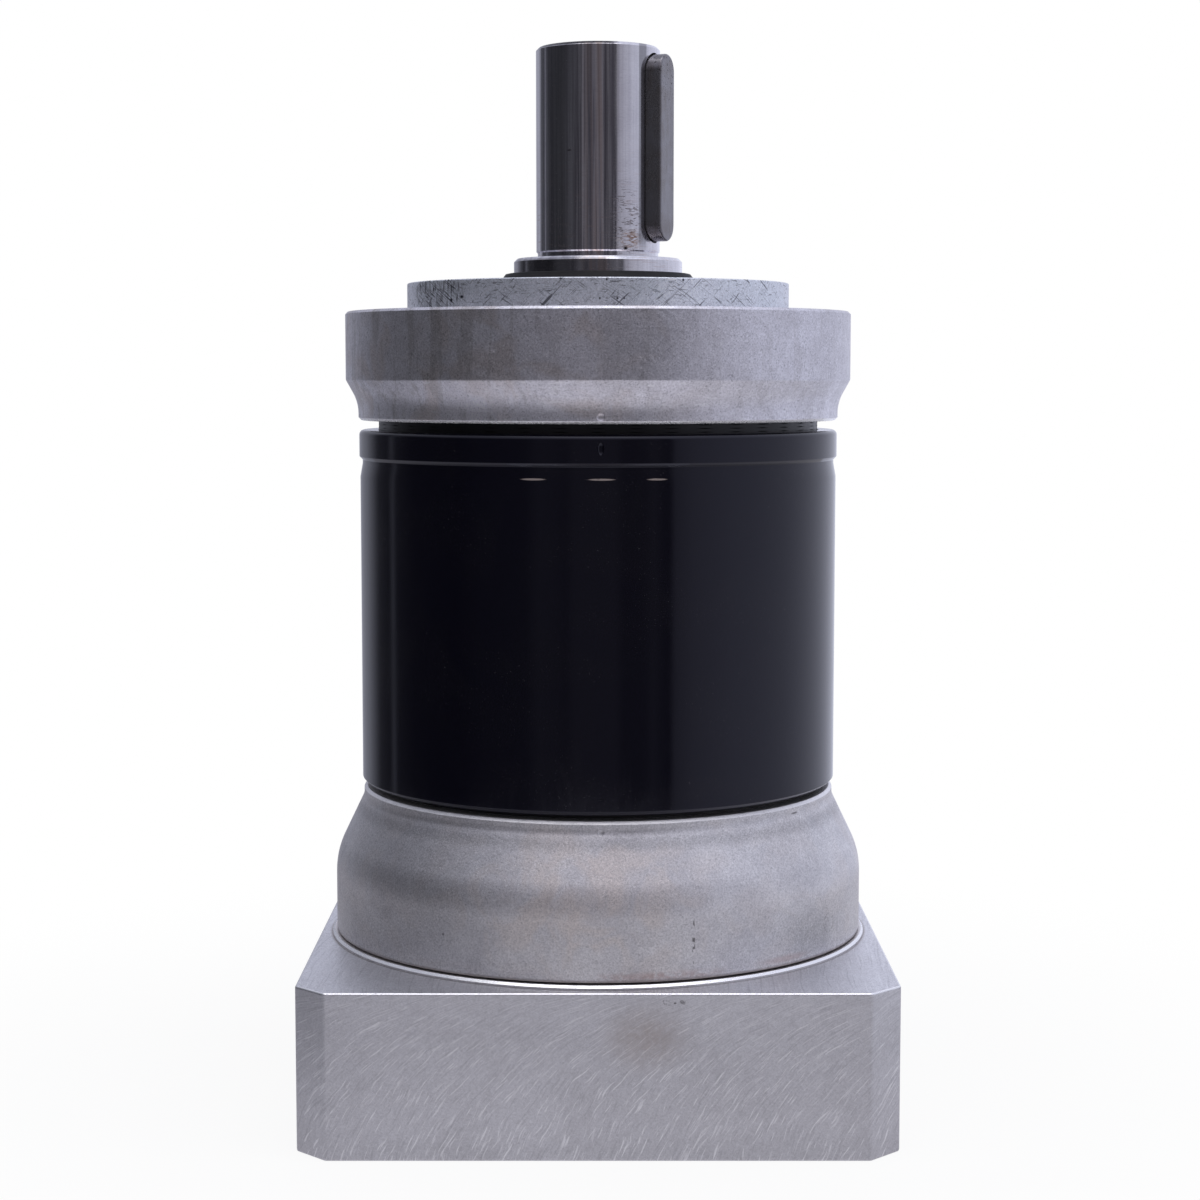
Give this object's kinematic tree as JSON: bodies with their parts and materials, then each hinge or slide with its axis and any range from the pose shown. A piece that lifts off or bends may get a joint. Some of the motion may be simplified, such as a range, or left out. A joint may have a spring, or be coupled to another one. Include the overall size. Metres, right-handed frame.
{
  "type": "two-stage planetary gearbox",
  "caption": "Coaxial planetary gearbox with a keyed output shaft, round output flange, black ring gear, flared input bell and square motor adapter.",
  "frame": {"origin": "centre of the motor face, on the gearbox's axis", "axes": "+Z along the output shaft, -Y towards the front of the picture, +X to its right"},
  "size_m": [0.1, 0.1, 0.1858],
  "materials": {
    "turned_aluminium": "fine turned, satin",
    "milled_aluminium": "milled and sanded",
    "black_coating": "gloss black coating on steel",
    "ground_steel": "ground, lightly oxidised",
    "key_steel": "drawn bright key steel",
    "gear_steel": "hardened and ground",
    "bearing_steel": "polished",
    "spring_steel": "phosphated",
    "black_screw": "black oxide",
    "seal_rubber": "moulded nitrile"
  },
  "bodies": {
    "housing": {"output_flange": "turned_aluminium", "ring_gear": "black_coating", "input_bell": "turned_aluminium", "motor_adapter": "milled_aluminium", "access_plug": "seal_rubber", "adapter_screw_1": "black_screw", "adapter_screw_2": "black_screw", "adapter_screw_3": "black_screw", "adapter_screw_4": "black_screw", "output_seal": "seal_rubber", "input_seal": "seal_rubber", "flange_circlip": "spring_steel", "bell_circlip": "spring_steel", "front_bearing_outer": "bearing_steel", "rear_bearing_outer": "bearing_steel", "bearing_spacer_outer": "bearing_steel", "input_bearing_outer": "bearing_steel"},
    "output": {"output_shaft": "ground_steel", "shaft_key": "key_steel", "front_bearing_inner": "bearing_steel", "rear_bearing_inner": "bearing_steel", "bearing_spacer_inner": "bearing_steel", "shaft_circlip": "spring_steel", "stage2_pin_1": "ground_steel", "stage2_pin_2": "ground_steel", "stage2_pin_3": "ground_steel"},
    "intermediate": {"stage1_carrier": "gear_steel", "stage2_sun": "gear_steel", "stage1_pin_1": "ground_steel", "stage1_pin_2": "ground_steel", "stage1_pin_3": "ground_steel"},
    "input": {"input_hub": "gear_steel", "clamp_ring": "black_screw", "clamp_screw": "black_screw", "hub_circlip": "spring_steel", "input_bearing_inner": "bearing_steel"},
    "stage2_gear_1": {"stage2_planet_1": "gear_steel"},
    "stage2_gear_2": {"stage2_planet_2": "gear_steel"},
    "stage2_gear_3": {"stage2_planet_3": "gear_steel"},
    "stage2_rollers_1": {"stage2_needles_1": "bearing_steel"},
    "stage2_rollers_2": {"stage2_needles_2": "bearing_steel"},
    "stage2_rollers_3": {"stage2_needles_3": "bearing_steel"},
    "stage1_gear_1": {"stage1_planet_1": "gear_steel"},
    "stage1_gear_2": {"stage1_planet_2": "gear_steel"},
    "stage1_gear_3": {"stage1_planet_3": "gear_steel"},
    "stage1_rollers_1": {"stage1_needles_1": "bearing_steel"},
    "stage1_rollers_2": {"stage1_needles_2": "bearing_steel"},
    "stage1_rollers_3": {"stage1_needles_3": "bearing_steel"},
    "front_balls": {"front_bearing_balls": "bearing_steel"},
    "rear_balls": {"rear_bearing_balls": "bearing_steel"},
    "input_balls": {"input_bearing_balls": "bearing_steel"}
  },
  "joints": [
    {"name": "output_spin", "type": "hinge", "parent": "housing", "child": "output", "pos_m": [0, 0, 0.1], "axis": [0, 0, 1], "continuous": true},
    {"name": "intermediate_spin", "type": "hinge", "parent": "housing", "child": "intermediate", "pos_m": [0, 0, 0.08], "axis": [0, 0, 1], "continuous": true},
    {"name": "input_spin", "type": "hinge", "parent": "housing", "child": "input", "pos_m": [0, 0, 0.048], "axis": [0, 0, 1], "continuous": true},
    {"name": "stage2_planet_spin_1", "type": "hinge", "parent": "output", "child": "stage2_gear_1", "pos_m": [0, 0.021, 0.09], "axis": [0, 0, 1], "continuous": true},
    {"name": "stage2_planet_spin_2", "type": "hinge", "parent": "output", "child": "stage2_gear_2", "pos_m": [-0.01819, -0.0105, 0.09], "axis": [0, 0, 1], "continuous": true},
    {"name": "stage2_planet_spin_3", "type": "hinge", "parent": "output", "child": "stage2_gear_3", "pos_m": [0.01819, -0.0105, 0.09], "axis": [0, 0, 1], "continuous": true},
    {"name": "stage2_needle_spin_1", "type": "hinge", "parent": "output", "child": "stage2_rollers_1", "pos_m": [0, 0.021, 0.09], "axis": [0, 0, 1], "continuous": true},
    {"name": "stage2_needle_spin_2", "type": "hinge", "parent": "output", "child": "stage2_rollers_2", "pos_m": [-0.01819, -0.0105, 0.09], "axis": [0, 0, 1], "continuous": true},
    {"name": "stage2_needle_spin_3", "type": "hinge", "parent": "output", "child": "stage2_rollers_3", "pos_m": [0.01819, -0.0105, 0.09], "axis": [0, 0, 1], "continuous": true},
    {"name": "stage1_planet_spin_1", "type": "hinge", "parent": "intermediate", "child": "stage1_gear_1", "pos_m": [0, 0.021, 0.067], "axis": [0, 0, 1], "continuous": true},
    {"name": "stage1_planet_spin_2", "type": "hinge", "parent": "intermediate", "child": "stage1_gear_2", "pos_m": [-0.01819, -0.0105, 0.067], "axis": [0, 0, 1], "continuous": true},
    {"name": "stage1_planet_spin_3", "type": "hinge", "parent": "intermediate", "child": "stage1_gear_3", "pos_m": [0.01819, -0.0105, 0.067], "axis": [0, 0, 1], "continuous": true},
    {"name": "stage1_needle_spin_1", "type": "hinge", "parent": "intermediate", "child": "stage1_rollers_1", "pos_m": [0, 0.021, 0.067], "axis": [0, 0, 1], "continuous": true},
    {"name": "stage1_needle_spin_2", "type": "hinge", "parent": "intermediate", "child": "stage1_rollers_2", "pos_m": [-0.01819, -0.0105, 0.067], "axis": [0, 0, 1], "continuous": true},
    {"name": "stage1_needle_spin_3", "type": "hinge", "parent": "intermediate", "child": "stage1_rollers_3", "pos_m": [0.01819, -0.0105, 0.067], "axis": [0, 0, 1], "continuous": true},
    {"name": "front_ball_spin", "type": "hinge", "parent": "housing", "child": "front_balls", "pos_m": [0, 0, 0.1291], "axis": [0, 0, 1], "continuous": true},
    {"name": "rear_ball_spin", "type": "hinge", "parent": "housing", "child": "rear_balls", "pos_m": [0, 0, 0.1135], "axis": [0, 0, 1], "continuous": true},
    {"name": "input_ball_spin", "type": "hinge", "parent": "housing", "child": "input_balls", "pos_m": [0, 0, 0.0482], "axis": [0, 0, 1], "continuous": true}
  ],
  "couplings": [
    {"joint": "intermediate_spin", "follows": "output_spin", "ratio": 4},
    {"joint": "input_spin", "follows": "output_spin", "ratio": 16},
    {"joint": "stage2_planet_spin_1", "follows": "output_spin", "ratio": -3},
    {"joint": "stage2_planet_spin_2", "follows": "output_spin", "ratio": -3},
    {"joint": "stage2_planet_spin_3", "follows": "output_spin", "ratio": -3},
    {"joint": "stage2_needle_spin_1", "follows": "output_spin", "ratio": -1.812},
    {"joint": "stage2_needle_spin_2", "follows": "output_spin", "ratio": -1.812},
    {"joint": "stage2_needle_spin_3", "follows": "output_spin", "ratio": -1.812},
    {"joint": "stage1_planet_spin_1", "follows": "output_spin", "ratio": -12},
    {"joint": "stage1_planet_spin_2", "follows": "output_spin", "ratio": -12},
    {"joint": "stage1_planet_spin_3", "follows": "output_spin", "ratio": -12},
    {"joint": "stage1_needle_spin_1", "follows": "output_spin", "ratio": -7.248},
    {"joint": "stage1_needle_spin_2", "follows": "output_spin", "ratio": -7.248},
    {"joint": "stage1_needle_spin_3", "follows": "output_spin", "ratio": -7.248},
    {"joint": "front_ball_spin", "follows": "output_spin", "ratio": 0.402},
    {"joint": "rear_ball_spin", "follows": "output_spin", "ratio": 0.402},
    {"joint": "input_ball_spin", "follows": "output_spin", "ratio": 6.94}
  ]
}
